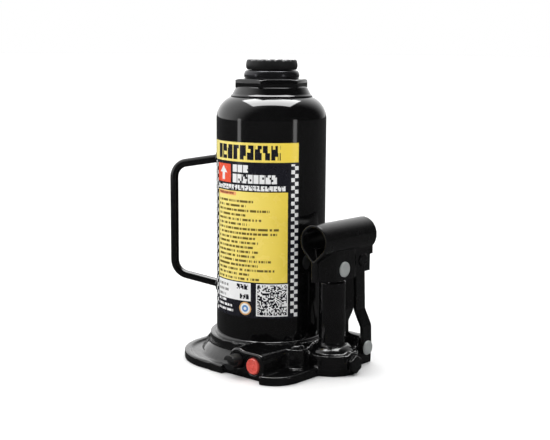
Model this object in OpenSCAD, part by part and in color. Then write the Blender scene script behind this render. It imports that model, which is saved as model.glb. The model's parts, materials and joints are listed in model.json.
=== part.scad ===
// Hydraulic bottle jack, closed, standing on the floor.
// Origin: axis of the lifting ram, on the floor. +Z up, +X towards the pump,
// -Y towards the mouth of the handle socket and the release valve. Millimetres.

/* [Lift] */
// Height of the closed jack, floor to saddle
closed_h = 230; // [218:1:280]
// Stroke of the hydraulic ram
ram_travel = 150; // [100:1:150]
// Travel of the extension screw out of the ram
screw_travel = 80; // [50:1:96]
// Outer radius of the extension screw's shank
screw_r = 15.7; // [13:0.1:17]
// Wall of the ram round the extension screw
ram_wall = 3.3; // [2.5:0.1:4.5]
// How far the saddle stands out from the screw's shank
saddle_lip = 4; // [1:0.1:5]
// Height of the saddle
saddle_h = 7.5; // [6:0.5:12]
// Number of grip grooves across the saddle's rim
saddle_grooves = 18; // [8:1:24]

/* [Reservoir] */
// Outer radius of the reservoir tank
tank_r = 42; // [40:0.1:52]
// Wall of the reservoir tank
tank_wall = 2.5; // [1.5:0.1:3]
// Radius of the tank's rounded shoulder
shoulder_r = 18; // [12:0.5:20]
// Wall of the pressure cylinder
cylinder_wall = 4; // [3:0.1:5]
// Gap between the ram and the pressure cylinder
ram_gap = 2; // [1.5:0.1:3]
// Height of the filler plug
filler_z = 145; // [80:1:160]

/* [Top nut] */
// Land of the hexagon round the ram, to its corners
nut_land = 7.2; // [6.5:0.1:9]
// Height of the hexagon
nut_hex_h = 6.5; // [5:0.5:10]
// Height of the cone below the hexagon
nut_cone_h = 6.8; // [4:0.2:10]
// Wall of the spigot round the pressure cylinder
nut_wall = 2.6; // [1.5:0.1:4]
// Width of the shoulder that seats on the tank
nut_lip = 1.6; // [1:0.1:3]

/* [Base] */
// Thickness of the flange
flange_t = 4.5; // [3.5:0.5:6]
// Height of the raised rim
rim_h = 6.5; // [6:0.5:10]
// Width of the raised rim
rim_w = 5; // [3:0.5:7]
// Wall of the round boss outside the tank
boss_wall = 5; // [4:0.5:8]
// Height of the boss
boss_h = 20; // [19:0.5:22]
// Height of the seat under the pressure cylinder
seat_z = 15; // [14.5:0.5:16]

/* [Pump] */
// Distance from the round boss to the pump's axis
pump_gap = 15; // [13:0.1:19]
// Outer radius of the pump barrel
barrel_r = 10; // [9.5:0.5:11]
// Radius of the plunger
plunger_r = 6; // [5:0.1:6.4]
// Radius of the pressure chamber in the barrel
chamber_r = 8; // [7:0.1:8.2]
// Height of the plunger pin
plunger_pin_z = 78.3; // [70:0.1:95]
// Radius of the three linkage pins
pin_r = 4; // [3:0.1:4.8]
// Thickness of the link plates
link_t = 2.8; // [2:0.1:3]
// Width of the link plates
link_w = 11; // [10:0.5:12]

/* [Handle socket] */
// Bore of the handle socket
socket_bore_r = 10.5; // [9.5:0.1:12.6]
// Thickness of the socket's sheet
sheet_t = 2.1; // [1.5:0.1:2.2]
// Length of the socket
socket_len = 59.6; // [57:0.1:80]
// Height of the socket's axis above the plunger pin
socket_rise = 21.7; // [21.5:0.1:26]

/* [Valves] */
// Radius of the release screw's thread
release_r = 5; // [4:0.1:5.2]
// Radius of the valve balls
ball_r = 2.4; // [2:0.1:2.5]
// Radius of the relief valve's cap
cap_r = 5.9; // [5:0.1:6]

/* [Carry handle] */
// Radius of the handle's rod
rod_r = 3.25; // [2.5:0.05:4]
// Distance from the tank to the middle of the grip
grip_gap = 40; // [30:1:60]
// Height of the handle's upper weld
handle_top_z = 154; // [140:1:162]
// Height of the handle's lower weld
handle_low_z = 53.3; // [45:0.1:70]
// Radius of the handle's bends
bend_r = 10; // [8:0.5:14]

/* [Label] */
// Bottom of the label
label_z = 39; // [30:1:60]
// Height of the label
label_h = 131.5; // [80:0.5:140]
// Angle that the label covers
label_arc = 109; // [90:1:160]
// Direction that the middle of the label faces
label_mid = -73; // [-90:1:-50]

/* [Hidden] */
$fn = 64;
// A cut runs this far past a face
over = 1;
// Radial clearance of a shaft in its hole
fit = 0.05;
// Space between pieces that pass each other
clear = 0.5;

// Heights on the ram's axis
saddle_z = closed_h - saddle_h;
ram_top = saddle_z - 0.4;
nut_top = ram_top - 6.5;
nut_hex_z = nut_top - nut_hex_h;
nut_foot = nut_hex_z - nut_cone_h;
cylinder_top = nut_foot - 0.3;
ring_r = screw_r + 1.7;
ram_bore_r = ring_r + 0.3;
ram_r = ram_bore_r + ram_wall;
cylinder_r = ram_r + ram_gap + cylinder_wall;
gasket_t = 1.5;
retainer_z = seat_z + gasket_t;
seal_z = retainer_z + 2.5;
head_z = seal_z + 3.5;
ram_foot = head_z + 6;
screw_grip = 27;
screw_foot = ram_top - screw_travel - screw_grip - 6;
saddle_r = screw_r + saddle_lip;

// Reservoir and top nut
tank_foot = boss_h - 3;
spigot_r = cylinder_r + nut_wall;
nut_cone_r = spigot_r + nut_lip;
nut_corner_r = ram_r + nut_land;
shoulder_z = nut_foot - sqrt(pow(shoulder_r, 2) - pow(nut_cone_r - tank_r + shoulder_r, 2)) - 0.2;
filler_angle = 100;
filler_r = 5;

// Flange corners in turn round the base: x, y, radius
boss_r = tank_r + boss_wall;
pump_x = boss_r + pump_gap;
block_x = [26, 47];
block_face = -boss_r - 13;
heel_r = boss_r - 1;
corners = [[-12.5, -17.5, heel_r], [pump_x - 18, block_face + 16, 22], [pump_x - 16, -10, 20],
    [30, boss_r - 5.5, 22], [-12.5, 17.5, heel_r]];

// Pump and linkage
well_z = 12;
barrel_foot = well_z + 1;
pump_boss_r = 20;
suction_z = 8.5;
suction_seat_x = pump_x - 9.5;
eye_r = 8;
yoke_in = eye_r + 0.8;
yoke_z = plunger_pin_z - eye_r - 0.3;
barrel_top = yoke_z - 1;
socket_z = plunger_pin_z + socket_rise;
top_pin_y = 25;
top_pin_z = plunger_pin_z + 3.3;
base_pin_y = 28;
base_pin_z = 13.6;
slot_y = 1.05;
slot_z = 0.32;
head_t = 1.6;
flange_in = plunger_r + 0.9;
link_gap = flange_in - link_t - 0.3;
lug_half = 9.3;
link_foot_gap = lug_half + 0.3;
link_foot_r = link_w / 2 + 0.5;
link_room = link_foot_gap - lug_half + link_t + head_t + clear;
kink_low = 30;
kink_high = 42;
socket_rear = top_pin_y + 12;
socket_front = socket_rear - socket_len;
vee_drop = socket_bore_r * 1.37;

// Valves
release_x = 22;
release_z = 12;
// The thread ends before it runs under the tank's groove
release_face = -sqrt(pow(tank_r, 2) - pow(release_x - release_r, 2)) - 1;
release_seat = -24;
release_riser_y = -28;
chamber_gap = 0.2;
riser_r = 1.6;
relief_x = 37;
relief_z = 10.3;
relief_seat = -27;
delivery_at = [pump_x - 14.4, -23];
delivery_dome_r = 5.2;

// Carry handle
grip_r = tank_r + grip_gap;
handle_angle = 202;
handle_lean = 7;
handle_slope = atan2(handle_lean, grip_r - tank_r);
handle_gap = 0.4;

// ---- helpers ----

function turn(a, r) = [r * cos(a), r * sin(a)];

// Direction of the outer tangent line between two corner circles
function tangent(a, b) =
    atan2(b[1] - a[1], b[0] - a[0]) - acos((a[2] - b[2]) / norm([b[0] - a[0], b[1] - a[1]]));

// Belt line round the corner circles, moved in by an inset
module outline(inset) {
    count = len(corners);
    for (c = corners)
        translate([c[0], c[1]]) circle(c[2] - inset);
    polygon([for (i = [0 : count - 1])
        let (a = corners[i], b = corners[(i + 1) % count], t = tangent(a, b))
        for (c = [a, b]) [c[0], c[1]] + turn(t, c[2] - inset)]);
}

// Round bar along an axis, from one coordinate to another
module bar_x(y, z, x0, x1, r) {
    translate([x0, y, z]) rotate([0, 90, 0]) cylinder(h = x1 - x0, r = r);
}

module bar_y(x, z, y0, y1, r) {
    translate([x, y0, z]) rotate([-90, 0, 0]) cylinder(h = y1 - y0, r = r);
}

// Round bar between two points at one height
module bar_flat(a, b, z, r) {
    d = b - a;
    translate([a[0], a[1], z])
        rotate([0, 0, atan2(d[1], d[0])])
            rotate([0, 90, 0]) cylinder(h = norm(d), r = r);
}

// Upright oil way that meets a level one at height z
module riser(at, z, top) {
    translate([at[0], at[1], z - riser_r]) cylinder(h = top - z, r = riser_r);
}

module ring(z, h, r_in, r_out) {
    translate([0, 0, z])
        difference() {
            cylinder(h = h, r = r_out);
            translate([0, 0, -over]) cylinder(h = h + 2 * over, r = r_in);
        }
}

// Pin along X with a rivet head at both ends
module headed_pin(y, z, half, r, head_r) {
    bar_x(y, z, -half - head_t, half + head_t, r);
    for (side = [-1, 1])
        translate([side * half, y, z])
            rotate([0, side * 90, 0]) cylinder(h = head_t, r1 = head_r, r2 = head_r - 0.5);
}

// ---- base and reservoir ----

module base_solid() {
    difference() {
        union() {
            linear_extrude(flange_t) outline(0);
            linear_extrude(rim_h) difference() {
                outline(0);
                outline(rim_w);
            }
        }
        // Flat front under the valve block
        translate([9.5, 2 * block_face, -over])
            cube([block_x[1] + 0.5 - 9.5, -block_face, rim_h + 2 * over]);
    }
    cylinder(h = boss_h, r = boss_r);
    translate([0, 0, flange_t - 1]) cylinder(h = 8, r1 = boss_r + 4.5, r2 = boss_r - 0.5);
    // Valve block with a rounded top over the release screw
    bar_y(release_x, release_z, block_face, -20, 9.3);
    translate([release_x - 9.3, block_face, 0]) cube([18.6, -20 - block_face, release_z]);
    translate([block_x[0], block_face, 0])
        cube([block_x[1] - block_x[0], -16 - block_face, boss_h - 5.5]);
    translate([block_x[0], block_face, 0])
        cube([block_x[1] - block_x[0] - 5, -16 - block_face, boss_h]);
    bar_y(block_x[1] - 5, boss_h - 5, block_face, -16, 5);
    // Web that joins the boss to the pump
    translate([30, -14, 0]) cube([pump_x - 30, 28, 16]);
    translate([pump_x, 0, 0]) cylinder(h = 15.5, r = pump_boss_r);
    translate([pump_x, 0, 15.5]) cylinder(h = 3.5, r1 = 16, r2 = 12.5);
    // Delivery valve boss and its web
    translate([delivery_at[0], delivery_at[1], 0]) cylinder(h = 19, r = 8);
    rotate([0, 0, atan2(delivery_at[1], delivery_at[0])])
        translate([30, -7, 0]) cube([norm(delivery_at) - 30, 14, 17]);
    // Suction valve boss
    bar_x(0, suction_z, pump_x, pump_x + 20.5, 8.5);
    // Lug under the link
    bar_x(base_pin_y, base_pin_z, pump_x - lug_half, pump_x + lug_half, 9.5);
    translate([pump_x - lug_half, base_pin_y - 9.5, 0]) cube([2 * lug_half, 19, base_pin_z]);
    translate([pump_x - lug_half, 10, 0]) cube([2 * lug_half, 20, base_pin_z - 3]);
    translate([30, 8, 0]) cube([pump_x + lug_half - 30, base_pin_y + 1.5, flange_t + 3]);
    // Gusset behind the tank
    rotate([0, 0, 205])
        translate([boss_r - 3, 2.5, 0])
            rotate([90, 0, 0])
                linear_extrude(5) polygon([[0, 1], [9, 1], [9, 10], [2, boss_h - 2], [0, boss_h - 2]]);
}

module base() {
    color([0.06, 0.06, 0.065]) difference() {
        base_solid();
        // Tank groove, reservoir floor and pressure cylinder seat
        translate([0, 0, tank_foot - gasket_t])
            difference() {
                cylinder(h = boss_h, r = tank_r + 0.1);
                translate([0, 0, -over]) cylinder(h = boss_h, r = tank_r - 4);
            }
        translate([0, 0, tank_foot + 1]) cylinder(h = boss_h, r = tank_r - 3);
        translate([0, 0, seat_z]) cylinder(h = boss_h, r = cylinder_r + 0.05);
        // Pump well and suction line
        translate([pump_x, 0, well_z]) cylinder(h = boss_h, r = barrel_r - 1 + fit);
        bar_x(0, suction_z, pump_x + 10, pump_x + 21.5, 4.5 + fit);
        bar_x(0, suction_z, suction_seat_x, pump_x + 11, ball_r + chamber_gap);
        bar_x(0, suction_z, 34, suction_seat_x + over, 1.5);
        riser([34, 0], suction_z, boss_h);
        // Delivery line
        translate([delivery_at[0], delivery_at[1], 12]) cylinder(h = boss_h, r = 4 + fit);
        translate([delivery_at[0], delivery_at[1], 19])
            cylinder(h = boss_h, r = delivery_dome_r + clear);
        translate([delivery_at[0], delivery_at[1], 7.5]) cylinder(h = 6, r = ball_r + chamber_gap);
        riser(delivery_at, 4, 10);
        bar_flat(delivery_at, [pump_x, 0], 4, 1.2);
        riser([pump_x, 0], 4, boss_h);
        bar_flat([20, -8], delivery_at, relief_z, 1.2);
        riser([20, -8], relief_z, boss_h);
        // Relief valve
        bar_y(relief_x, relief_z, block_face - over, block_face + 4, cap_r + fit);
        bar_y(relief_x, relief_z, block_face, -38, 4 + fit);
        bar_y(relief_x, relief_z, -39, relief_seat, 3);
        bar_y(relief_x, relief_z, relief_seat - over, -17, 1);
        // Release valve
        bar_y(release_x, release_z, block_face - over, release_face, release_r + fit);
        bar_y(release_x, release_z, release_face - over, release_seat, ball_r + chamber_gap);
        bar_y(release_x, release_z, release_seat - over, -5, 1.3);
        riser([20.6, -6], release_z, boss_h);
        riser([release_x, release_riser_y], release_z, boss_h);
        // Link pin, and room beside the lug for the link's feet
        bar_x(base_pin_y, base_pin_z, pump_x - lug_half - over, pump_x + lug_half + over,
            pin_r + fit);
        for (x = [pump_x - lug_half - link_room, pump_x + lug_half])
            bar_x(base_pin_y, base_pin_z, x, x + link_room, link_foot_r + clear);
    }
}

// Half section of the can: its wall, the flat part of its top and the shoulder between them
module tank_section(r, shoulder, top, flat_top) {
    square([r, shoulder_z]);
    square([tank_r - shoulder_r, flat_top]);
    intersection() {
        translate([tank_r - shoulder_r, shoulder_z]) circle(shoulder);
        square([r, top]);
    }
}

module reservoir_tank() {
    color([0.05, 0.05, 0.055]) difference() {
        rotate_extrude() difference() {
            tank_section(tank_r, shoulder_r, nut_foot, nut_foot);
            tank_section(tank_r - tank_wall, shoulder_r - tank_wall, nut_foot + over,
                nut_foot - tank_wall);
            translate([0, -over]) square([spigot_r + 0.1, nut_foot + 3 * over]);
            translate([0, -over]) square([tank_r + over, tank_foot + over]);
        }
        rotate([0, 0, filler_angle]) bar_x(0, filler_z, tank_r - 10, tank_r + 10, filler_r + fit);
    }
}

module tank_gasket() {
    color([0.2, 0.2, 0.2])
        ring(tank_foot - gasket_t, gasket_t, tank_r - 4, tank_r);
}

module filler_plug() {
    color([0.1, 0.1, 0.1]) rotate([0, 0, filler_angle]) {
        bar_x(0, filler_z, tank_r - 7, tank_r + 2, filler_r);
        difference() {
            bar_x(0, filler_z, tank_r - 2, tank_r + 2.6, 7.5);
            translate([0, 0, filler_z - 10]) cylinder(h = 20, r = tank_r + 0.3);
        }
    }
}

module pressure_cylinder() {
    foot = seat_z + gasket_t;
    color([0.6, 0.6, 0.62]) difference() {
        ring(foot, cylinder_top - foot, ram_r + ram_gap, cylinder_r);
        // Port that stops the ram at the end of its stroke
        rotate([0, 0, 135]) bar_x(0, seal_z + 4 + ram_travel, 0, cylinder_r + over, 1);
        // Oil gets out of the seat here
        rotate([0, 0, 135]) bar_x(0, foot + 12, ram_r, cylinder_r + over, 0.8);
    }
}

module cylinder_gasket() {
    color([0.7, 0.45, 0.25])
        ring(seat_z, gasket_t, ram_r + ram_gap, cylinder_r);
}

module top_nut() {
    spigot_h = 18;
    color([0.07, 0.07, 0.075]) difference() {
        union() {
            translate([0, 0, nut_hex_z]) rotate([0, 0, -5])
                cylinder(h = nut_hex_h, r = nut_corner_r, $fn = 6);
            translate([0, 0, nut_foot])
                cylinder(h = nut_cone_h, r1 = nut_cone_r, r2 = nut_corner_r - 0.4);
            translate([0, 0, nut_foot - spigot_h]) cylinder(h = spigot_h + over, r = spigot_r);
        }
        translate([0, 0, nut_foot - spigot_h - over])
            cylinder(h = spigot_h + over + 0.7, r = cylinder_r + fit);
        translate([0, 0, nut_foot]) cylinder(h = 30, r = ram_r + fit);
        translate([0, 0, nut_hex_z]) cylinder(h = 3, r = ram_r + 2.2);
    }
}

module top_nut_seal() {
    color([0.12, 0.12, 0.12])
        ring(cylinder_top, 1, ram_r + ram_gap, cylinder_r);
}

module ram_wiper() {
    color([0.15, 0.15, 0.15])
        ring(nut_hex_z, 3, ram_r + fit, ram_r + 2.2);
}

// A straight leg of the handle, from its own foot on the tank outwards
module handle_leg(start, end, r1, r2) {
    rotate([0, 90 + handle_slope, 0])
        translate([0, 0, start]) cylinder(h = end - start, r1 = r1, r2 = r2);
}

// Puts a part of the handle at its upper and its lower weld
module at_handle_ends() {
    rotate([0, 0, handle_angle]) {
        translate([tank_r, 0, handle_top_z]) children();
        translate([tank_r, 0, handle_low_z]) rotate([180, 0, 0]) children();
    }
}

module carry_handle() {
    cut = bend_r * tan((90 - handle_slope) / 2);
    leg = (grip_r - tank_r) / cos(handle_slope) - cut;
    bead = 0.3;
    color([0.05, 0.05, 0.055]) {
        rotate([0, 0, handle_angle])
            translate([grip_r, 0, handle_low_z + handle_lean + cut - bead])
                cylinder(h = handle_top_z - handle_low_z - 2 * (handle_lean + cut - bead), r = rod_r);
        at_handle_ends() {
            handle_leg(handle_gap, leg + bead, rod_r, rod_r);
            rotate([0, 90 + handle_slope, 0])
                translate([bend_r, 0, leg])
                    rotate([-90, 0, 0])
                        rotate([0, 0, 180])
                            rotate_extrude(angle = 90 - handle_slope)
                                translate([bend_r, 0]) circle(rod_r);
            // The bend runs into the straight lengths through a slight swelling
            rotate([0, 90 + handle_slope, 0]) translate([0, 0, leg]) sphere(rod_r + 0.1);
            translate([grip_r - tank_r, 0, -handle_lean - cut]) sphere(rod_r + 0.1);
        }
    }
}

module handle_welds() {
    color([0.05, 0.05, 0.055]) difference() {
        at_handle_ends() handle_leg(-2, 5, rod_r + 4.4, rod_r + 0.5);
        cylinder(h = closed_h, r = tank_r, $fn = 360);
        at_handle_ends() handle_leg(handle_gap, 9, rod_r, rod_r);
    }
}

module label() {
    color([0.98, 0.88, 0.3])
        rotate([0, 0, label_mid - label_arc / 2])
            rotate_extrude(angle = label_arc)
                translate([tank_r, label_z]) square([0.25, label_h]);
}

// ---- ram and extension screw ----

module ram() {
    color([0.55, 0.56, 0.58]) difference() {
        union() {
            translate([0, 0, ram_foot]) cylinder(h = ram_top - ram_foot - 1.2, r = ram_r);
            translate([0, 0, ram_top - 1.2]) cylinder(h = 1.2, r1 = ram_r, r2 = ram_r - 1);
        }
        translate([0, 0, ram_foot - over])
            cylinder(h = ram_top - ram_foot - screw_grip + over, r = ram_bore_r);
        translate([0, 0, ram_foot]) cylinder(h = ram_top, r = screw_r + 0.08);
    }
}

module piston_head() {
    color([0.5, 0.5, 0.52]) {
        translate([0, 0, retainer_z]) cylinder(h = head_z - retainer_z + over, r = 9);
        translate([0, 0, head_z]) cylinder(h = 6, r = ram_r + ram_gap - 0.1);
        translate([0, 0, ram_foot - over]) cylinder(h = 14, r = ram_bore_r - 0.02);
    }
}

module piston_seal() {
    color([0.15, 0.3, 0.35]) ring(seal_z, 3.5, 9, ram_r + ram_gap - fit);
}

module piston_retainer() {
    color([0.6, 0.6, 0.6]) ring(retainer_z, 2.5, 9, 18);
}

module screw_stop_ring() {
    color([0.6, 0.6, 0.62]) ring(screw_foot + 2, 3, screw_r - 1.6, ring_r);
}

module extension_screw() {
    color([0.12, 0.12, 0.13]) difference() {
        union() {
            translate([0, 0, screw_foot]) cylinder(h = saddle_z - screw_foot + over, r = screw_r);
            rotate_extrude() intersection() {
                translate([0, saddle_z]) square([saddle_r, saddle_h]);
                union() {
                    translate([0, saddle_z]) square([saddle_r - 4, saddle_h]);
                    translate([saddle_r - 4.6, saddle_z + saddle_h / 2 - 0.4]) circle(4.6);
                }
            }
        }
        ring(screw_foot + 1.9, 3.2, screw_r - 1.65, screw_r + over);
        for (i = [0 : saddle_grooves - 1])
            rotate([0, 0, i * 360 / saddle_grooves])
                bar_x(0, closed_h + 0.4, saddle_r - 7, saddle_r + over, 1.25);
        ring(closed_h - 0.8, 2, saddle_r - 9, saddle_r - 7);
    }
}

// ---- pump ----

module pump_barrel() {
    color([0.06, 0.06, 0.065]) translate([pump_x, 0, 0]) difference() {
        union() {
            translate([0, 0, barrel_foot]) cylinder(h = 6.2, r = barrel_r - 1);
            translate([0, 0, 19]) cylinder(h = 2.2, r1 = barrel_r + 2.2, r2 = barrel_r);
            translate([0, 0, 19]) cylinder(h = barrel_top - 20, r = barrel_r);
            translate([0, 0, barrel_top - 1]) cylinder(h = 1, r1 = barrel_r, r2 = barrel_r - 0.8);
        }
        translate([0, 0, barrel_foot - over]) cylinder(h = 40, r = chamber_r);
        translate([0, 0, barrel_foot]) cylinder(h = barrel_top, r = plunger_r + fit);
        translate([0, 0, barrel_top - 3]) cylinder(h = 5, r = plunger_r + 1.8);
    }
}

module barrel_gasket() {
    color([0.7, 0.45, 0.25]) translate([pump_x, 0, 0])
        ring(well_z, 1, 4, barrel_r - 1);
}

module barrel_gland() {
    color([0.15, 0.15, 0.15]) translate([pump_x, 0, 0])
        ring(barrel_top - 3, 2.6, plunger_r + fit, plunger_r + 1.8);
}

module pump_plunger() {
    half = yoke_in - clear;
    color([0.6, 0.61, 0.63]) translate([pump_x, 0, 0]) difference() {
        union() {
            translate([0, 0, barrel_foot + 2]) cylinder(h = 10, r = 3.5);
            translate([0, 0, barrel_foot + 11]) cylinder(h = plunger_pin_z - 24, r = plunger_r);
            intersection() {
                bar_x(0, plunger_pin_z, -half, half, eye_r);
                translate([0, 0, plunger_pin_z - 12]) cylinder(h = 24, r = half + 1.4);
            }
        }
        for (y = [-slot_y, slot_y])
            bar_x(y, plunger_pin_z, -half - over, half + over, pin_r + slot_z);
        translate([-half - over, -slot_y, plunger_pin_z - pin_r - slot_z])
            cube([2 * half + 2 * over, 2 * slot_y, 2 * (pin_r + slot_z)]);
    }
}

module plunger_seal() {
    color([0.15, 0.3, 0.35]) translate([pump_x, 0, 0])
        ring(barrel_foot + 4.5, 6.5, 3.5, chamber_r - fit);
}

module plunger_retainer() {
    color([0.6, 0.6, 0.6]) translate([pump_x, 0, 0])
        ring(barrel_foot + 2, 2.5, 3.5, chamber_r - 1.5);
}

// Section of the tube with its closing vee, across the socket's axis
module socket_section(r, drop) {
    half = acos(r / drop);
    circle(r);
    polygon([[0, -drop], turn(-90 + half, r), turn(-90 - half, r)]);
}

// Plan of the two side walls, from the closed front to the flanges at the link
module wall_plan(outer) {
    nose = outer + 0.1;
    wide = yoke_in + outer;
    tail = flange_in + outer;
    polygon([[-nose, socket_front], [nose, socket_front], [nose, -18], [wide, -10], [wide, 12],
        [tail, 16], [tail, socket_rear], [-tail, socket_rear], [-tail, 16], [-wide, 12],
        [-wide, -10], [-nose, -18]]);
}

module handle_socket() {
    wall_top = socket_z - socket_bore_r * 0.7;
    color([0.06, 0.06, 0.065]) translate([pump_x, 0, 0]) difference() {
        union() {
            translate([0, socket_front, socket_z]) rotate([-90, 0, 0]) mirror([0, 1, 0])
                linear_extrude(socket_len)
                    socket_section(socket_bore_r + sheet_t, vee_drop + 1.35 * sheet_t);
            translate([0, 0, yoke_z]) linear_extrude(wall_top - yoke_z) wall_plan(sheet_t);
        }
        bar_y(0, socket_z, socket_front - over, socket_rear + over, socket_bore_r);
        translate([0, socket_front - over, socket_z]) rotate([-90, 0, 0]) mirror([0, 1, 0])
            linear_extrude(socket_len + 2 * over) socket_section(socket_bore_r, vee_drop);
        // Space for the plunger's eye and the link
        translate([0, 0, yoke_z - over]) linear_extrude(wall_top - yoke_z + over)
            polygon([[-0.4, -18], [0.4, -18], [yoke_in, -9.5], [yoke_in, 12], [flange_in, 16],
                [flange_in, socket_rear + over], [-flange_in, socket_rear + over],
                [-flange_in, 16], [-yoke_in, 12], [-yoke_in, -9.5]]);
        // The flanges end in a lobe round the link's pin
        translate([-20, top_pin_y + 9, yoke_z - over]) cube([40, 20, 16]);
        translate([-20, 17, yoke_z - over]) cube([40, 20, 3.5]);
        bar_x(0, plunger_pin_z, -20, 20, pin_r + 0.01);
        bar_x(top_pin_y, top_pin_z, -20, 20, pin_r + 0.01);
    }
}

module plunger_pin() {
    color([0.72, 0.74, 0.75]) translate([pump_x, 0, 0])
        headed_pin(0, plunger_pin_z, yoke_in + sheet_t, pin_r, 5.75);
}

module link_top_pin() {
    color([0.08, 0.08, 0.08]) translate([pump_x, 0, 0])
        headed_pin(top_pin_y, top_pin_z, flange_in + sheet_t, pin_r, 5.2);
}

module link_base_pin() {
    color([0.72, 0.74, 0.75]) translate([pump_x, 0, 0])
        headed_pin(base_pin_y, base_pin_z, link_foot_gap + link_t, pin_r, 5.5);
}

// Link plate: its side view cuts a plate that is cranked outwards near its foot
module link_plate(side) {
    translate([pump_x, 0, 0]) mirror([side < 0 ? 1 : 0, 0, 0]) difference() {
        intersection() {
            translate([0, base_pin_y + 15, 0]) rotate([90, 0, 0])
                linear_extrude(40) polygon([
                    [link_gap, top_pin_z + 10], [link_gap, kink_high], [link_foot_gap, kink_low],
                    [link_foot_gap, 0], [link_foot_gap + link_t, 0],
                    [link_foot_gap + link_t, kink_low + 1], [link_gap + link_t, kink_high + 1],
                    [link_gap + link_t, top_pin_z + 10]]);
            union() {
                bar_x(base_pin_y, base_pin_z, 0, 20, link_foot_r);
                bar_x(top_pin_y, top_pin_z, 0, 20, link_w / 2);
                rotate([90, 0, 90]) linear_extrude(20) polygon([
                    [base_pin_y - link_w / 2, base_pin_z], [base_pin_y + link_w / 2, base_pin_z],
                    [top_pin_y + link_w / 2, top_pin_z], [top_pin_y - link_w / 2, top_pin_z]]);
            }
        }
        bar_x(base_pin_y, base_pin_z, 0, 20, pin_r + fit);
        bar_x(top_pin_y, top_pin_z, 0, 20, pin_r + fit);
    }
}

module link_plate_left() {
    color([0.06, 0.06, 0.065]) link_plate(-1);
}

module link_plate_right() {
    color([0.06, 0.06, 0.065]) link_plate(1);
}

// ---- valves ----

module suction_ball() {
    color([0.75, 0.75, 0.77])
        translate([suction_seat_x + ball_r + 0.1, 0, suction_z]) sphere(ball_r);
}

module suction_plug() {
    color([0.1, 0.1, 0.11]) {
        bar_x(0, suction_z, pump_x + 10, pump_x + 21, 4.5);
        translate([pump_x + 20.5, 0, suction_z]) rotate([0, 90, 0])
            cylinder(h = 3.5, r = 7, $fn = 6);
    }
}

module oil_filter() {
    color([0.7, 0.6, 0.3]) translate([34, 0, tank_foot + 1]) difference() {
        cylinder(h = 4, r = 3);
        translate([0, 0, -over]) cylinder(h = 4, r = 2.2);
    }
}

module delivery_ball() {
    color([0.75, 0.75, 0.77])
        translate([delivery_at[0], delivery_at[1], 7.5 + ball_r + 0.1]) sphere(ball_r);
}

module delivery_plug() {
    color([0.1, 0.1, 0.11]) translate([delivery_at[0], delivery_at[1], 0]) {
        translate([0, 0, 13.5]) cylinder(h = 6, r = 4);
        intersection() {
            translate([0, 0, 19]) cylinder(h = 4, r = delivery_dome_r);
            translate([0, 0, 14.2]) sphere(7.6);
        }
    }
}

module relief_ball() {
    color([0.75, 0.75, 0.77])
        translate([relief_x, relief_seat - 1.5, relief_z]) sphere(1.5);
}

// Coils pressed close together
module relief_spring() {
    wire_r = 0.75;
    coils = 6;
    pitch = (relief_seat - 3 + 38 - 2 * wire_r) / (coils - 1);
    color([0.6, 0.6, 0.62])
        for (i = [0 : coils - 1])
            translate([relief_x, -38 + wire_r + i * pitch, relief_z])
                rotate([90, 0, 0])
                    rotate_extrude() translate([1.9, 0]) circle(wire_r, $fn = 24);
}

module relief_screw() {
    color([0.5, 0.5, 0.52]) difference() {
        bar_y(relief_x, relief_z, -50, -38, 4);
        translate([relief_x - 5, -50 - over, relief_z - 0.6]) cube([10, 2.5, 1.2]);
    }
}

module relief_cap() {
    color([0.93, 0.28, 0.25]) difference() {
        bar_y(relief_x, relief_z, block_face - 1.2, block_face + 4, cap_r);
        bar_y(relief_x, relief_z, block_face - 2, block_face - 0.8, 1.2);
    }
}

module release_ball() {
    color([0.75, 0.75, 0.77])
        translate([release_x, release_seat - ball_r - 0.1, release_z]) sphere(ball_r);
}

module release_screw() {
    tip = release_seat - 2 * ball_r - 0.1 - 0.2;
    knob = block_face - 0.4;
    color([0.08, 0.08, 0.085]) difference() {
        union() {
            bar_y(release_x, release_z, tip - 4, tip, ball_r - 0.1);
            bar_y(release_x, release_z, knob - 1, release_face - 3, release_r);
            bar_y(release_x, release_z, release_face - 4, tip - 3, ball_r - 0.1);
            bar_y(release_x, release_z, knob - 9, knob, release_r + 0.5);
        }
        translate([release_x - 8, knob - 10, release_z - 1.4]) cube([16, 5, 2.8]);
        bar_y(release_x, release_z, block_face + 4, block_face + 6.2, 20);
    }
    color([0.08, 0.08, 0.085])
        bar_y(release_x, release_z, block_face + 3.9, block_face + 6.3, release_r - 1.3);
}

module release_seal() {
    color([0.15, 0.15, 0.15]) difference() {
        bar_y(release_x, release_z, block_face + 4.1, block_face + 6.1, release_r);
        bar_y(release_x, release_z, block_face + 3, block_face + 7, release_r - 1.3);
    }
}

base();
reservoir_tank();
tank_gasket();
pressure_cylinder();
cylinder_gasket();
top_nut();
top_nut_seal();
ram_wiper();
carry_handle();
handle_welds();
label();
filler_plug();
ram();
piston_head();
piston_seal();
piston_retainer();
screw_stop_ring();
extension_screw();
pump_barrel();
barrel_gasket();
barrel_gland();
pump_plunger();
plunger_seal();
plunger_retainer();
plunger_pin();
handle_socket();
link_top_pin();
link_plate_left();
link_plate_right();
link_base_pin();
suction_ball();
suction_plug();
oil_filter();
delivery_ball();
delivery_plug();
relief_ball();
relief_spring();
relief_screw();
relief_cap();
release_ball();
release_screw();
release_seal();
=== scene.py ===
"""Looks of the hydraulic bottle jack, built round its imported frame. Lengths are millimetres until
they meet Blender, where MM turns them into metres."""
import json
import math

import bpy
from mathutils import Euler, Matrix, Vector


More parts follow.
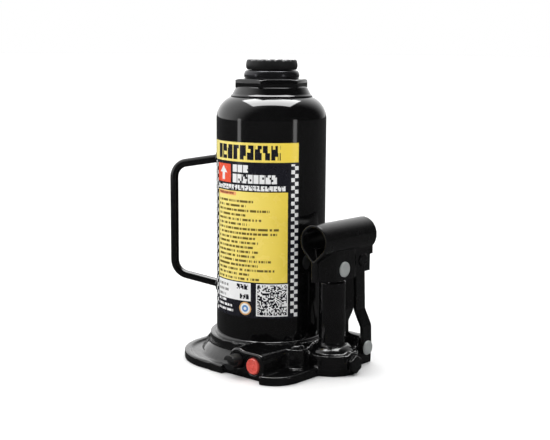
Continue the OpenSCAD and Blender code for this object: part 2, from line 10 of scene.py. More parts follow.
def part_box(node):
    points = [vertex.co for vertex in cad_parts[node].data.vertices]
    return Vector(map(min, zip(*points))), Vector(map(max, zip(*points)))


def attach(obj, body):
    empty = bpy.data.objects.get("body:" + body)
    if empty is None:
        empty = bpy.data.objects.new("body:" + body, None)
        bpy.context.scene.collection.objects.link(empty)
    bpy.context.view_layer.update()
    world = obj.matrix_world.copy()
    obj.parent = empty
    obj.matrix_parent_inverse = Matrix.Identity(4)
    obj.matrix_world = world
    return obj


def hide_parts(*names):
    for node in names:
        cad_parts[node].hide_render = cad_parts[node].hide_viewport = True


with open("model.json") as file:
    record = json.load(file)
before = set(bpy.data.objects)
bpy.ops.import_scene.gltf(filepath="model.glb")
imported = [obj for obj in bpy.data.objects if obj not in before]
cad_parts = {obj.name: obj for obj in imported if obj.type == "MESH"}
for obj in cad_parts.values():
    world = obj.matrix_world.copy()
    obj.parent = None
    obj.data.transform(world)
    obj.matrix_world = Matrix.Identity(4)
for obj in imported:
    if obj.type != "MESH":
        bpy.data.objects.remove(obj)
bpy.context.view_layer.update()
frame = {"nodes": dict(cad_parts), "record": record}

MM = 0.001
NODES = frame["nodes"]
BODY_OF = {n: b for b, names in frame["record"]["behaviour"]["bodies"].items() for n in names}
SLOT_OF = {s["node"]: s["material_slot"] for s in frame["record"]["subparts"]}


# ---------------------------------------------------------------- places taken from the frame

def middle(node):
    """Middle of a node's box, in millimetres."""
    low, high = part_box(node)
    return (low + high) / 2 / MM


def low_of(node):
    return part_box(node)[0] / MM


def high_of(node):
    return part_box(node)[1] / MM


def polar(reach, angle):
    """A place in plan, from its reach and its angle from +X towards +Y."""
    a = math.radians(angle)
    return (reach * math.cos(a), reach * math.sin(a))


TANK_R = high_of("tank_gasket").x
TANK_FOOT = low_of("reservoir_tank").z
TANK_TOP = high_of("reservoir_tank").z
BOSS_TOP = TANK_FOOT + 3
PUMP_X = middle("pump_barrel").x
RAM_R = high_of("ram").x
RAM_TOP = high_of("ram").z
JACK_TOP = high_of("extension_screw").z
NUT_TOP = high_of("top_nut").z
NUT_CONE_R = high_of("top_nut").x
NUT_BORE_R = RAM_R + 0.35
HEX_H = 6.5
HEX_CORNER_R = RAM_R + 7.2
HEX_TURN = -5
BOSS_R = TANK_R + 5
TANK_WALL = 2.5
SHOULDER_R = 18
SHOULDER_Z = TANK_TOP - 0.2 - math.sqrt(SHOULDER_R ** 2 - (NUT_CONE_R - TANK_R + SHOULDER_R) ** 2)
SCREW_R = high_of("screw_stop_ring").x - 1.7
THREAD_ROOT_R = SCREW_R - 1.6
SADDLE_R = high_of("extension_screw").x
SADDLE_NOTCHES = 18
PUMP_R = high_of("pump_barrel").x - PUMP_X - 2.2
PLUNGER_R = high_of("barrel_gland").x - PUMP_X - 1.8
PIN_R = 4
PIN_PROUD = 1.6
FILLER_TURN = 100
FILLER_AXIS = (*polar(1, FILLER_TURN), 0)
FILLER_HOLE_R = 5.05
HANDLE_TURN = 202
HANDLE_TOP = 154
HANDLE_LOW = 53.3
HANDLE_LEAN = 7
GRIP_R = TANK_R + 40
ROD_R = 3.25
LABEL_MID = -73
LABEL_ARC = 109
FILM = 0.12
FILM_GAP = 0.06
CAMERA_AZIMUTH = 42
SWEEP_AZIMUTH = -105
LAMP_AIM = (0, 0, 0.11)
SAME_POINT = 1e-6
WHITE = (1, 1, 1, 1)


# ---------------------------------------------------------------- camera, light and floor

def place_camera():
    """Long lens, from the front and the pump's side, a little above the object."""
    reach, height = 826.5, 238.1
    tilt_down, roll, yaw = 9.01, 0.344, 0.218
    a = math.radians(CAMERA_AZIMUTH)
    data = bpy.data.cameras.new("Camera")
    data.sensor_width = 36.0
    data.lens = 70.68
    camera = bpy.data.objects.new("Camera", data)
    bpy.context.scene.collection.objects.link(camera)
    camera.location = (reach * math.sin(a) * MM, -reach * math.cos(a) * MM, height * MM)
    aim = Euler((math.radians(90 - tilt_down), 0, a - math.radians(yaw)), "XYZ").to_matrix()
    turn = Matrix.Rotation(math.radians(roll), 3, "Z")
    camera.rotation_euler = (aim @ turn).to_euler()
    data.clip_start, data.clip_end = 0.01, 50
    bpy.context.scene.camera = camera


def soft_box(name, at, size, power):
    """Rectangular lamp that faces the object and shows only as a gleam on its gloss."""
    data = bpy.data.lights.new(name, "AREA")
    data.shape = "RECTANGLE"
    data.size, data.size_y = size
    data.energy = power
    lamp = bpy.data.objects.new(name, data)
    bpy.context.scene.collection.objects.link(lamp)
    lamp.location = at
    lamp.rotation_euler = (Vector(LAMP_AIM) - Vector(at)).to_track_quat("-Z", "Y").to_euler()
    lamp.visible_diffuse = False
    return lamp


def round_about(azimuth, reach, height):
    """A point round the object, given as the camera's azimuth is."""
    a = math.radians(azimuth)
    return (reach * math.sin(a), -reach * math.cos(a), height)


def set_range(node, from_low, from_high, to_low, to_high):
    """Sets what a Map Range node reads and what it gives."""
    for socket, number in (("From Min", from_low), ("From Max", from_high),
                           ("To Min", to_low), ("To Max", to_high)):
        node.inputs[socket].default_value = number


def light_studio():
    """Bright sweep on the left, darker in front, an even ceiling and three lamps for the gleams."""
    world = bpy.data.worlds.new("Studio")
    bpy.context.scene.world = world
    world.use_nodes = True
    tree = world.node_tree
    seen = tree.nodes["Background"]
    seen.inputs["Color"].default_value = WHITE
    seen.inputs["Strength"].default_value = 1.0
    where = tree.nodes.new("ShaderNodeTexCoord")
    aim = tree.nodes.new("ShaderNodeVectorMath")
    aim.operation = "DOT_PRODUCT"
    aim.inputs[1].default_value = round_about(SWEEP_AZIMUTH, 0.95, 0.3)
    level = tree.nodes.new("ShaderNodeMapRange")
    level.interpolation_type = "SMOOTHSTEP"
    set_range(level, -0.10, 0.75, 0.03, 1.15)
    lit = tree.nodes.new("ShaderNodeBackground")
    lit.inputs["Color"].default_value = WHITE
    path = tree.nodes.new("ShaderNodeLightPath")
    blend = tree.nodes.new("ShaderNodeMixShader")
    tree.links.new(where.outputs["Generated"], aim.inputs[0])
    tree.links.new(aim.outputs["Value"], level.inputs["Value"])
    tree.links.new(level.outputs["Result"], lit.inputs["Strength"])
    tree.links.new(path.outputs["Is Camera Ray"], blend.inputs["Fac"])
    tree.links.new(lit.outputs[0], blend.inputs[1])
    tree.links.new(seen.outputs[0], blend.inputs[2])
    tree.links.new(blend.outputs[0], tree.nodes["World Output"].inputs["Surface"])
    bpy.context.scene.view_settings.view_transform = "Standard"
    ceiling = bpy.data.lights.new("Ceiling", "SUN")
    ceiling.energy = 3.0
    ceiling.angle = math.radians(120)
    sky = bpy.data.objects.new("Ceiling", ceiling)
    bpy.context.scene.collection.objects.link(sky)
    sky.visible_glossy = False
    above = soft_box("Overhead", round_about(CAMERA_AZIMUTH + 180, 0.25, 1.2), (1.08, 0.95), 27)
    above.rotation_euler = (0, 0, math.radians(CAMERA_AZIMUTH))
    for name, azimuth in (("Left strip", -27), ("Right strip", 91)):
        soft_box(name, round_about(azimuth, 1.2, 0.05), (0.16, 0.5), 0.5)


def lay_floor():
    """Pale sweep; what it throws back into the black paint is kept low."""
    bpy.ops.mesh.primitive_plane_add(size=60, location=(0, 0, 0))
    floor = bpy.context.object
    floor.name = "studio_floor"
    paint = bpy.data.materials.new("floor_paint")
    paint.use_nodes = True
    tree = paint.node_tree
    pale = tree.nodes["Principled BSDF"]
    pale.inputs["Base Color"].default_value = (0.93, 0.93, 0.93, 1)
    pale.inputs["Roughness"].default_value = 0.8
    pale.inputs["Specular IOR Level"].default_value = 0.1
    dull = tree.nodes.new("ShaderNodeBsdfDiffuse")
    dull.inputs["Color"].default_value = (0.05, 0.05, 0.05, 1)
    path = tree.nodes.new("ShaderNodeLightPath")
    blend = tree.nodes.new("ShaderNodeMixShader")
    tree.links.new(path.outputs["Is Glossy Ray"], blend.inputs["Fac"])
    tree.links.new(pale.outputs[0], blend.inputs[1])
    tree.links.new(dull.outputs[0], blend.inputs[2])
    tree.links.new(blend.outputs[0], tree.nodes["Material Output"].inputs["Surface"])
    floor.data.materials.append(paint)


# ---------------------------------------------------------------- the modelling bench

def only(obj):
    """Selects one object alone and makes it the active one."""
    bpy.ops.object.select_all(action="DESELECT")
    obj.select_set(True)
    bpy.context.view_layer.objects.active = obj
    return obj


def named(name):
    obj = bpy.context.object
    obj.name = name
    obj.data.name = name
    return obj


def apply_place(obj):
    only(obj)
    bpy.ops.object.transform_apply(location=True, rotation=True, scale=True)
    return obj


def finish_with(obj, kind, **settings):
    """Adds one modifier, sets it and applies it."""
    only(obj)
    modifier = obj.modifiers.new(kind.title(), kind)
    for key, value in settings.items():
        setattr(modifier, key, value)
    bpy.ops.object.modifier_apply(modifier=modifier.name)
    return obj


def smooth(obj, angle=35):
    only(obj)
    bpy.ops.object.shade_smooth_by_angle(angle=math.radians(angle))
    return obj


def close_up(gap=SAME_POINT):
    """In edit mode: joins doubled points and turns every face outwards."""
    bpy.ops.mesh.select_all(action="SELECT")
    bpy.ops.mesh.remove_doubles(threshold=gap)
    bpy.ops.mesh.normals_make_consistent(inside=False)


def tidy_mesh(obj):
    """Closes up a whole piece."""
    only(obj)
    bpy.ops.object.mode_set(mode="EDIT")
    close_up()
    bpy.ops.object.mode_set(mode="OBJECT")
    return obj


def softened(profile, steps=4):
    """Rounds each corner (r, z, fillet) of a closed or open outline."""
    points = []
    count = len(profile)
    for i, corner in enumerate(profile):
        here = Vector(corner[:2])
        fillet = corner[2] if len(corner) > 2 else 0
        if fillet <= 0 or i in (0, count - 1):
            points.append(here)
            continue
        back = Vector(profile[i - 1][:2]) - here
        ahead = Vector(profile[i + 1][:2]) - here
        reach = min(fillet, 0.49 * back.length, 0.49 * ahead.length)
        start, end = here + back.normalized() * reach, here + ahead.normalized() * reach
        for k in range(steps + 1):
            t = k / steps
            points.append(start * (1 - t) ** 2 + here * 2 * t * (1 - t) + end * t * t)
    return points


def drawn(name, places):
    """A line of edges drawn through places in metres, left in edit mode and selected."""
    bpy.ops.object.select_all(action="DESELECT")
    bpy.ops.mesh.primitive_plane_add(size=0.001)
    obj = named(name)
    bpy.ops.object.mode_set(mode="EDIT")
    bpy.ops.mesh.select_all(action="SELECT")
    bpy.ops.mesh.merge(type="CENTER")
    bpy.ops.transform.translate(value=places[0])
    for here, there in zip(places, places[1:]):
        bpy.ops.mesh.extrude_region_move(TRANSFORM_OT_translate={"value": there - here})
    bpy.ops.mesh.select_all(action="SELECT")
    return obj


def turned(name, profile, centre=(0, 0), steps=96, loop=False):
    """A piece turned on a lathe: its outline (r, z, fillet) is drawn point by point, then spun."""
    outline = softened(profile + ([profile[0]] if loop else []))
    obj = drawn(name, [Vector((point.x, 0, point.y)) * MM for point in outline])
    bpy.ops.mesh.spin(steps=steps, angle=2 * math.pi, center=(0, 0, 0), axis=(0, 0, 1))
    close_up(2 * SAME_POINT)
    bpy.ops.object.mode_set(mode="OBJECT")
    obj.data.transform(Matrix.Translation((centre[0] * MM, centre[1] * MM, 0)))
    return smooth(obj)


def lay_along(obj, axis, at):
    """Turns a piece that stands on +Z so that it lies along an axis from a point in millimetres."""
    turn = Vector((0, 0, 1)).rotation_difference(Vector(axis)).to_matrix().to_4x4()
    obj.data.transform(Matrix.Translation(Vector(at) * MM) @ turn)
    return obj


def taken_from(node, name):
    """A merged copy of a node's mesh, to be worked on."""
    obj = bpy.data.objects.new(name, NODES[node].data.copy())
    obj.data.materials.clear()
    bpy.context.scene.collection.objects.link(obj)
    return tidy_mesh(obj)


def eased(obj, width, angle=40):
    """Breaks the sharp edges of a worked piece."""
    finish_with(obj, "BEVEL", width=width * MM, segments=2, limit_method="ANGLE",
                angle_limit=math.radians(angle), harden_normals=False)
    return smooth(obj)


def joined(name, objects):
    only(objects[0])
    for obj in objects[1:]:
        obj.select_set(True)
    bpy.ops.object.join()
    return named(name)


def melted(obj, voxel, rounds=3, strength=0.5):
    """Fuses what overlaps into one skin and softens its edges, as a casting comes out of sand."""
    finish_with(obj, "REMESH", mode="VOXEL", voxel_size=voxel * MM)
    finish_with(obj, "SMOOTH", factor=strength, iterations=rounds)
    only(obj)
    bpy.ops.object.shade_smooth()
    return obj


def add_to(obj, node, material):
    """Puts an extra piece on a node's body."""
    obj.data.materials.clear()
    obj.data.materials.append(material)
    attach(obj, BODY_OF[node])
    return obj


def fit_up(obj, node, material):
    """Puts a finished piece on its node's body, in place of the node."""
    add_to(obj, node, material)
    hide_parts(node)
    return obj


# ---------------------------------------------------------------- finishes

class Paint:
    """A material under construction: its nodes are added and wired by name."""

    def __init__(self, name, **sockets):
        self.material = bpy.data.materials.new(name)
        self.material.use_nodes = True
        self.tree = self.material.node_tree
        self.shader = self.tree.nodes["Principled BSDF"]
        self.place = self.add("ShaderNodeTexCoord").outputs["Object"]
        for socket, value in sockets.items():
            self.shader.inputs[socket.replace("_", " ")].default_value = value

    def add(self, kind, **settings):
        node = self.tree.nodes.new(kind)
        for key, value in settings.items():
            setattr(node, key, value)
        return node

    def wire(self, source, target):
        self.tree.links.new(source, target)

    def feed(self, socket, value):
        if isinstance(value, bpy.types.NodeSocket):
            self.wire(value, socket)
        else:
            socket.default_value = value

    def math(self, operation, a, b=0.0, c=0.0):
        node = self.add("ShaderNodeMath", operation=operation)
        for socket, value in zip(node.inputs, (a, b, c)):
            self.feed(socket, value)
        return node.outputs[0]

    def noise(self, scale, detail=2.0, rough=0.5, place=None):
        node = self.add("ShaderNodeTexNoise")
        node.inputs["Scale"].default_value = scale
        node.inputs["Detail"].default_value = detail
        node.inputs["Roughness"].default_value = rough
        self.wire(place or self.place, node.inputs["Vector"])
        return node.outputs["Fac"]

    def stretched(self, scale):
        node = self.add("ShaderNodeMapping")
        node.inputs["Scale"].default_value = scale
        self.wire(self.place, node.inputs["Vector"])
        return node.outputs["Vector"]

    def spread(self, value, low, high, to_low, to_high):
        node = self.add("ShaderNodeMapRange")
        set_range(node, low, high, to_low, to_high)
        self.wire(value, node.inputs["Value"])
        return node.outputs["Result"]

    def mix(self, share, a, b):
        node = self.add("ShaderNodeMix", data_type="RGBA")
        self.feed(node.inputs["Factor"], share)
        for socket, value in ((node.inputs[6], a), (node.inputs[7], b)):
            self.feed(socket, value if isinstance(value, bpy.types.NodeSocket) else (*value, 1))
        return node.outputs[2]

    def bump(self, height, distance, strength=1.0, under=None):
        node = self.add("ShaderNodeBump")
        node.inputs["Distance"].default_value = distance * MM
        node.inputs["Strength"].default_value = strength
        self.wire(height, node.inputs["Height"])
        if under:
            self.wire(under, node.inputs["Normal"])
        return node.outputs["Normal"]

    def set(self, **sockets):
        for socket, value in sockets.items():
            self.feed(self.shader.inputs[socket.replace("_", " ")], value)
        return self


def smooth_enamel():
    """Thick gloss black over drawn steel: nearly flat, with a faint orange peel."""
    paint = Paint("smooth_enamel", IOR=1.52, Coat_Weight=0.35, Coat_Roughness=0.04)
    dust = paint.spread(paint.noise(38, 4, 0.6), 0.35, 0.75, 0.0, 1.0)
    peel = paint.noise(620, 2)
    waves = paint.noise(45, 2)
    skin = paint.bump(peel, 0.03, 0.30)
    paint.set(Base_Color=paint.mix(dust, (0.0025, 0.0025, 0.0027), (0.0045, 0.0045, 0.0048)),
              Roughness=paint.spread(paint.noise(70, 4), 0.3, 0.7, 0.07, 0.12),
              Normal=paint.bump(waves, 0.12, 0.4, skin))
    return paint.material


def cast_enamel():
    """The same black run thickly over a rough casting, with pits and sags."""
    paint = Paint("cast_enamel", IOR=1.52, Coat_Weight=0.5, Coat_Roughness=0.06)
    grains = paint.noise(430, 4, 0.62)
    lumps = paint.noise(120, 3, 0.55)
    pits = paint.add("ShaderNodeTexVoronoi", feature="SMOOTH_F1")
    pits.inputs["Scale"].default_value = 260
    paint.wire(paint.place, pits.inputs["Vector"])
    rough = paint.bump(grains, 0.16, 0.55)
    pitted = paint.bump(pits.outputs["Distance"], 0.12, 0.35, rough)
    tone = paint.spread(paint.noise(60, 4), 0.35, 0.7, 0.0, 1.0)
    paint.set(Base_Color=paint.mix(tone, (0.0025, 0.0025, 0.0027), (0.0055, 0.0055, 0.0058)),
              Roughness=paint.spread(grains, 0.3, 0.7, 0.09, 0.18),
              Normal=paint.bump(lumps, 0.55, 0.6, pitted))
    return paint.material


def steel(name, tone, rough, grain=(900, 900, 30), metallic=1.0):
    """Ground or plated steel with fine lines, a little uneven in tone."""
    paint = Paint(name, Metallic=metallic)
    lines = paint.noise(1.0, 3, 0.6, paint.stretched(grain))
    cloud = paint.noise(160, 3)
    dark = tuple(0.78 * c for c in tone)
    paint.set(Base_Color=paint.mix(cloud, dark, tone),
              Roughness=paint.spread(lines, 0.3, 0.7, rough * 0.8, rough * 1.25),
              Normal=paint.bump(lines, 0.02, 0.35))
    return paint.material


def rubber(name="black_rubber", tone=(0.018, 0.018, 0.018)):
    paint = Paint(name)
    grain = paint.noise(700, 3)
    paint.set(Base_Color=paint.mix(paint.noise(90, 3), tone, tuple(1.7 * c for c in tone)),
              Roughness=paint.spread(grain, 0.3, 0.7, 0.55, 0.75),
              Normal=paint.bump(grain, 0.05, 0.4))
    return paint.material


def red_plastic():
    paint = Paint("red_plastic", Subsurface_Weight=0.08, Subsurface_Radius=(0.002, 0.0006, 0.0004))
    grain = paint.noise(520, 3)
    paint.set(Base_Color=paint.mix(paint.noise(140, 2), (0.72, 0.075, 0.055), (0.82, 0.115, 0.085)),
              Roughness=paint.spread(grain, 0.3, 0.7, 0.34, 0.46),
              Normal=paint.bump(grain, 0.03, 0.4))
    return paint.material


def satin_enamel():
    """Black paint over pressed sheet: duller, with dust and small rubs."""
    paint = Paint("satin_enamel", IOR=1.5, Coat_Weight=0.12, Coat_Roughness=0.15)
    peel = paint.noise(560, 3)
    rubs = paint.spread(paint.noise(210, 5, 0.65), 0.62, 0.78, 0.0, 1.0)
    paint.set(Base_Color=paint.mix(rubs, (0.004, 0.004, 0.0042), (0.014, 0.014, 0.0145)),
              Roughness=paint.spread(paint.noise(120, 4), 0.3, 0.7, 0.18, 0.28),
              Normal=paint.bump(paint.noise(90, 2), 0.12, 0.35, paint.bump(peel, 0.04, 0.35)))
    return paint.material


def forged_black():
    """Blackened forging: matt scale, rubbed to bare steel along its highest edge."""
    paint = Paint("forged_black", Metallic=0.25)
    scale_grain = paint.noise(480, 4, 0.65)
    height = paint.add("ShaderNodeSeparateXYZ")
    paint.wire(paint.place, height.inputs["Vector"])
    crest = paint.spread(height.outputs["Z"], (JACK_TOP - 1.1) * MM, JACK_TOP * MM, 0.0, 1.0)
    patches = paint.spread(paint.noise(330, 4, 0.7), 0.48, 0.60, 0.0, 1.0)
    worn = paint.math("MULTIPLY", crest, patches)
    tone = paint.mix(paint.noise(150, 3), (0.007, 0.007, 0.0075), (0.016, 0.016, 0.0165))
    paint.set(Base_Color=paint.mix(worn, tone, (0.42, 0.42, 0.43)),
              Roughness=paint.spread(scale_grain, 0.3, 0.7, 0.42, 0.58),
              Normal=paint.bump(scale_grain, 0.10, 0.5))
    return paint.material


class Print(Paint):
    """A material laid out flat: across is millimetres from the label's middle, up is height."""

    def __init__(self, name, **sockets):
        super().__init__(name, **sockets)
        turn = self.add("ShaderNodeMapping")
        turn.inputs["Rotation"].default_value = (0, 0, math.radians(-LABEL_MID))
        self.wire(self.place, turn.inputs["Vector"])
        parts = self.add("ShaderNodeSeparateXYZ")
        self.wire(turn.outputs["Vector"], parts.inputs["Vector"])
        angle = self.math("ARCTAN2", parts.outputs["Y"], parts.outputs["X"])
        self.across = self.math("MULTIPLY", angle, TANK_R)
        self.up = self.math("DIVIDE", parts.outputs["Z"], MM)

    def panel(self, left, right, foot, top):
        """1 inside a rectangle and 0 outside it."""
        wide = self.math("COMPARE", self.across, (left + right) / 2, (right - left) / 2)
        tall = self.math("COMPARE", self.up, (foot + top) / 2, (top - foot) / 2)
        return self.math("MULTIPLY", wide, tall)

    def cells_from(self, value, size, start):
        return self.math("DIVIDE", self.math("SUBTRACT", value, start), size)

    def cell(self, value, size, start=0.0):
        """Whole number of the cell that a place falls in."""
        return self.math("FLOOR", self.cells_from(value, size, start))

    def share_of_cell(self, value, size, start=0.0):
        """How far through its cell a place is, from 0 to 1."""
        return self.math("FRACT", self.cells_from(value, size, start))

    def chance(self, a, b, seed):
        """A number from 0 to 1 that is the same all over one cell."""
        pair = self.add("ShaderNodeCombineXYZ")
        self.feed(pair.inputs["X"], a)
        self.feed(pair.inputs["Y"], b)
        self.feed(pair.inputs["Z"], seed)
        noise = self.add("ShaderNodeTexWhiteNoise", noise_dimensions="3D")
        self.wire(pair.outputs["Vector"], noise.inputs["Vector"])
        return noise.outputs["Value"]

    def both(self, a, b):
        """Where two masks both hold; also the product of two measures."""
        return self.math("MULTIPLY", a, b)

    def blocks(self, left, right, foot, top, pitch, holes, seed):
        """A row of heavy blocks with random nicks, in the weight of a headline."""
        bar = self.panel(left, right, foot, top)
        gap = self.math("LESS_THAN", self.share_of_cell(self.across, pitch, left), 0.86)
        nick = self.chance(self.cell(self.across, pitch / 3.3, left),
                           self.cell(self.up, (top - foot) / 4, foot), seed)
        return self.both(self.both(bar, gap), self.math("LESS_THAN", nick, 1 - holes))

    def small_print(self, left, longest, foot, rows, pitch, seed):
        """Rows of short dashes, each row of its own length."""
        row = self.cell(self.up, pitch, foot)
        band = self.math("LESS_THAN", self.share_of_cell(self.up, pitch, foot), 0.5)
        length = self.spread(self.chance(row, 0, seed), 0, 1, 0.45 * longest, longest)
        inside = self.math("LESS_THAN", self.math("SUBTRACT", self.across, left), length)
        inked = self.chance(self.cell(self.across, 0.62), row, seed + 1)
        dash = self.math("LESS_THAN", inked, 0.72)
        within = self.panel(left, left + longest, foot, foot + rows * pitch)
        return self.both(self.both(band, inside), self.both(dash, within))

    def checks(self, left, right, foot, top, size):
        """Every other square of a chequered strip."""
        odd = self.math("ADD", self.cell(self.across, size, left), self.cell(self.up, size, foot))
        parity = self.math("MODULO", odd, 2.0)
        light = self.math("COMPARE", parity, 1.0, 0.2)
        return self.both(light, self.panel(left, right, foot, top))


def label_print():
    """Film printed in black, yellow, white and red, with plain blocks where words would be; its
    yellow carries painted light, paler towards the left and deeper towards the right.
    """
    ink = Print("label_film", IOR=1.46, Coat_Weight=0.15, Coat_Roughness=0.08)
    night, white = (0.010, 0.010, 0.016), (0.86, 0.86, 0.86)
    warm, pale = (0.93, 0.70, 0.075), (0.93, 0.80, 0.26)
    # Painted light: the yellow is mixed from pale on the label's left, where the bright sweep
    # lights the can, to deep yellow on its right.
    yellow = ink.mix(ink.spread(ink.across, -34, 30, 0, 1), pale, warm)
    dark_text = (0.16, 0.115, 0.02)
    square, mosaic_cell = (8.3, 30.6, 41.5, 64.4), 0.86
    layers = [
        (ink.panel(-40, 39.2, 155.9, 170.2), yellow),
        (ink.blocks(-30.5, 25.2, 157.6, 168.3, 6.1, 0.16, 3), night),
        (ink.panel(-32.6, -14.8, 139.9, 153.6), (0.86, 0.10, 0.045)),
        (ink.blocks(-12.8, 1.2, 148.1, 153.6, 4.75, 0.12, 7), white),
        (ink.blocks(-12.8, 22.8, 140.2, 146.7, 4.5, 0.12, 9), white),
        (ink.blocks(-32.6, 29.2, 134.9, 138.6, 3.1, 0.14, 11), white),
        (ink.panel(-31.8, 30.9, 66.2, 133.9), yellow),
        (ink.panel(-31.0, -9.5, 130.6, 133.4), (0.90, 0.42, 0.16)),
        (ink.blocks(-29.8, -12.0, 131.2, 132.9, 1.5, 0.1, 13), (0.25, 0.05, 0.03)),
        (ink.small_print(-30.0, 57.5, 67.4, 18, 3.43, 17), dark_text),
        (ink.panel(-31.8, 3.2, 51.6, 65.4), white),
        (ink.small_print(-30.0, 18.0, 53.2, 3, 3.9, 23), (0.28, 0.28, 0.28)),
        (ink.blocks(-8.8, 1.2, 60.2, 64.2, 3.3, 0.2, 29), night),
        (ink.blocks(-6.0, 1.8, 53.0, 56.8, 2.7, 0.2, 31), night),
        (ink.panel(7.4, 31.4, 40.6, 65.2), white),
        (ink.small_print(-31.6, 21.0, 41.9, 3, 3.6, 37), white),
        (ink.checks(33.4, 39.2, 40.0, 154.6, 2.9), white),
        (ink.checks(-39.6, -33.8, 40.0, 154.6, 2.9), white),
    ]
    tile = ink.chance(ink.cell(ink.across, mosaic_cell), ink.cell(ink.up, mosaic_cell), 41)
    layers.append((ink.both(ink.math("LESS_THAN", tile, 0.52), ink.panel(*square)), night))
    layers += arrow_mark(ink, -23.7, 141.6, 152.2, white) + badge(ink, -1.4, 45.8, white)
    tone = night
    for mask, colour in layers:
        tone = ink.mix(mask, tone, colour)
    scuffs = ink.spread(ink.noise(520, 4, 0.7), 0.62, 0.75, 0.0, 0.12)
    grain = ink.noise(900, 2)
    ink.set(Base_Color=ink.mix(scuffs, tone, (0.35, 0.34, 0.32)),
            Roughness=ink.spread(ink.noise(160, 3), 0.3, 0.7, 0.20, 0.30),
            Normal=ink.bump(grain, 0.02, 0.25))
    return ink.material


def arrow_mark(ink, axis, foot, top, colour):
    """Plain arrow that points up: a shaft under a triangle."""
    neck, half_shaft, half_head = top - 5.2, 1.7, 6
    shaft = ink.panel(axis - half_shaft, axis + half_shaft, foot, neck + 0.1)
    away = ink.math("ABSOLUTE", ink.math("SUBTRACT", ink.across, axis))
    slope = ink.math("MULTIPLY", ink.math("SUBTRACT", top, ink.up), 0.92)
    head = ink.both(ink.math("LESS_THAN", away, slope),
                    ink.panel(axis - half_head, axis + half_head, neck, top))
    return [(shaft, colour), (head, colour)]


def badge(ink, centre_across, centre_up, colour):
    """Round generic badge: a ring, a white field and a blue disc."""
    aside = ink.math("SUBTRACT", ink.across, centre_across)
    above = ink.math("SUBTRACT", ink.up, centre_up)
    reach = ink.math("SQRT", ink.math("ADD", ink.both(aside, aside), ink.both(above, above)))
    rings = ((5.0, (0.75, 0.42, 0.16)), (4.0, colour), (2.6, (0.10, 0.28, 0.62)), (1.2, colour))
    return [(ink.math("LESS_THAN", reach, radius), tone) for radius, tone in rings]


# ---------------------------------------------------------------- base and reservoir

def base_casting():
    """Flange, boss, valve block and pump boss in one iron casting with soft edges."""
    body = taken_from("base", "base_casting")
    foot = turned("boss_foot", [(TANK_R, 4), (BOSS_R + 6.2, 4), (BOSS_R + 5.4, 6.6, 1),
                                (BOSS_R + 0.6, 11.5, 3), (TANK_R, 15)], loop=True, steps=72)
    collar = turned("pump_collar", [(8, 10), (PUMP_R + 6.4, 10), (PUMP_R + 6.2, 17.2, 1.4),
                                    (PUMP_R + 2.4, 20.4, 1.5), (8, 20.4)],
                    (PUMP_X, 0), loop=True, steps=48)
    fillets = [turned("web_fillet", [(0, 3), (6, 3), (5, 9, 1), (3.4, 14.5, 2), (0, 14.5)],
                      polar(reach, angle), steps=32)
               for reach, angle in ((BOSS_R + 1.5, -26), (BOSS_R + 1, 38))]
    casting = melted(joined("base_casting", [body, foot, collar, *fillets]), 0.9, 5, 0.55)
    return fit_up(casting, "base", CASTING)


def tank_arc(radius, top_r, steps=14):
    """Points of the shoulder, from the wall round to where the top nut seats."""
    centre_r = TANK_R - SHOULDER_R
    last = math.acos((top_r - centre_r) / radius)
    return [(centre_r + radius * math.cos(last * k / steps),
             SHOULDER_Z + radius * math.sin(last * k / steps)) for k in range(steps + 1)]


def reservoir():
    """Drawn steel can, closed over its shoulder and open for the top nut."""
    outer = [(TANK_R, TANK_FOOT)] + tank_arc(SHOULDER_R, NUT_CONE_R - 0.6)
    inner = [(TANK_R - TANK_WALL, TANK_FOOT)] + tank_arc(SHOULDER_R - TANK_WALL, NUT_CONE_R - 1.2)
    can = turned("reservoir_can", outer + inner[::-1], loop=True, steps=160)
    filler_at = (*polar(TANK_R, FILLER_TURN), middle("filler_plug").z)
    cut_away(can, cutter_bar("filler_hole", FILLER_HOLE_R, 12, filler_at, FILLER_AXIS))
    fit_up(smooth(can), "reservoir_tank", ENAMEL)
    seam = turned("tank_seam", [
        (TANK_R - 0.6, BOSS_TOP - 0.8), (TANK_R + 1.5, BOSS_TOP - 0.8),
        (TANK_R + 1.3, BOSS_TOP + 0.35, 0.5), (TANK_R + 0.35, BOSS_TOP + 1.2, 0.6),
        (TANK_R - 0.6, BOSS_TOP + 1.3)], loop=True, steps=160)
    add_to(rippled(seam, 0.35, 5.0), "reservoir_tank", CASTING)


def cutter_bar(name, radius, length, at, axis):
    """A round bar that is cut away from something; at is its middle, in millimetres."""
    bpy.ops.object.select_all(action="DESELECT")
    bpy.ops.mesh.primitive_cylinder_add(vertices=48, radius=radius * MM, depth=length * MM)
    return lay_along(named(name), axis, at)


def cut_away(obj, *tools):
    for tool in tools:
        finish_with(obj, "BOOLEAN", operation="DIFFERENCE", solver="EXACT", object=tool)
        bpy.data.objects.remove(tool)
    return obj


def rippled(obj, height, size):
    """Uneven surface of a weld or a thick run of paint."""
    waves = bpy.data.textures.new(obj.name + "_waves", "CLOUDS")
    waves.noise_scale = size * MM
    finish_with(obj, "DISPLACE", texture=waves, texture_coords="LOCAL", strength=height * MM,
                mid_level=0.5)
    return obj


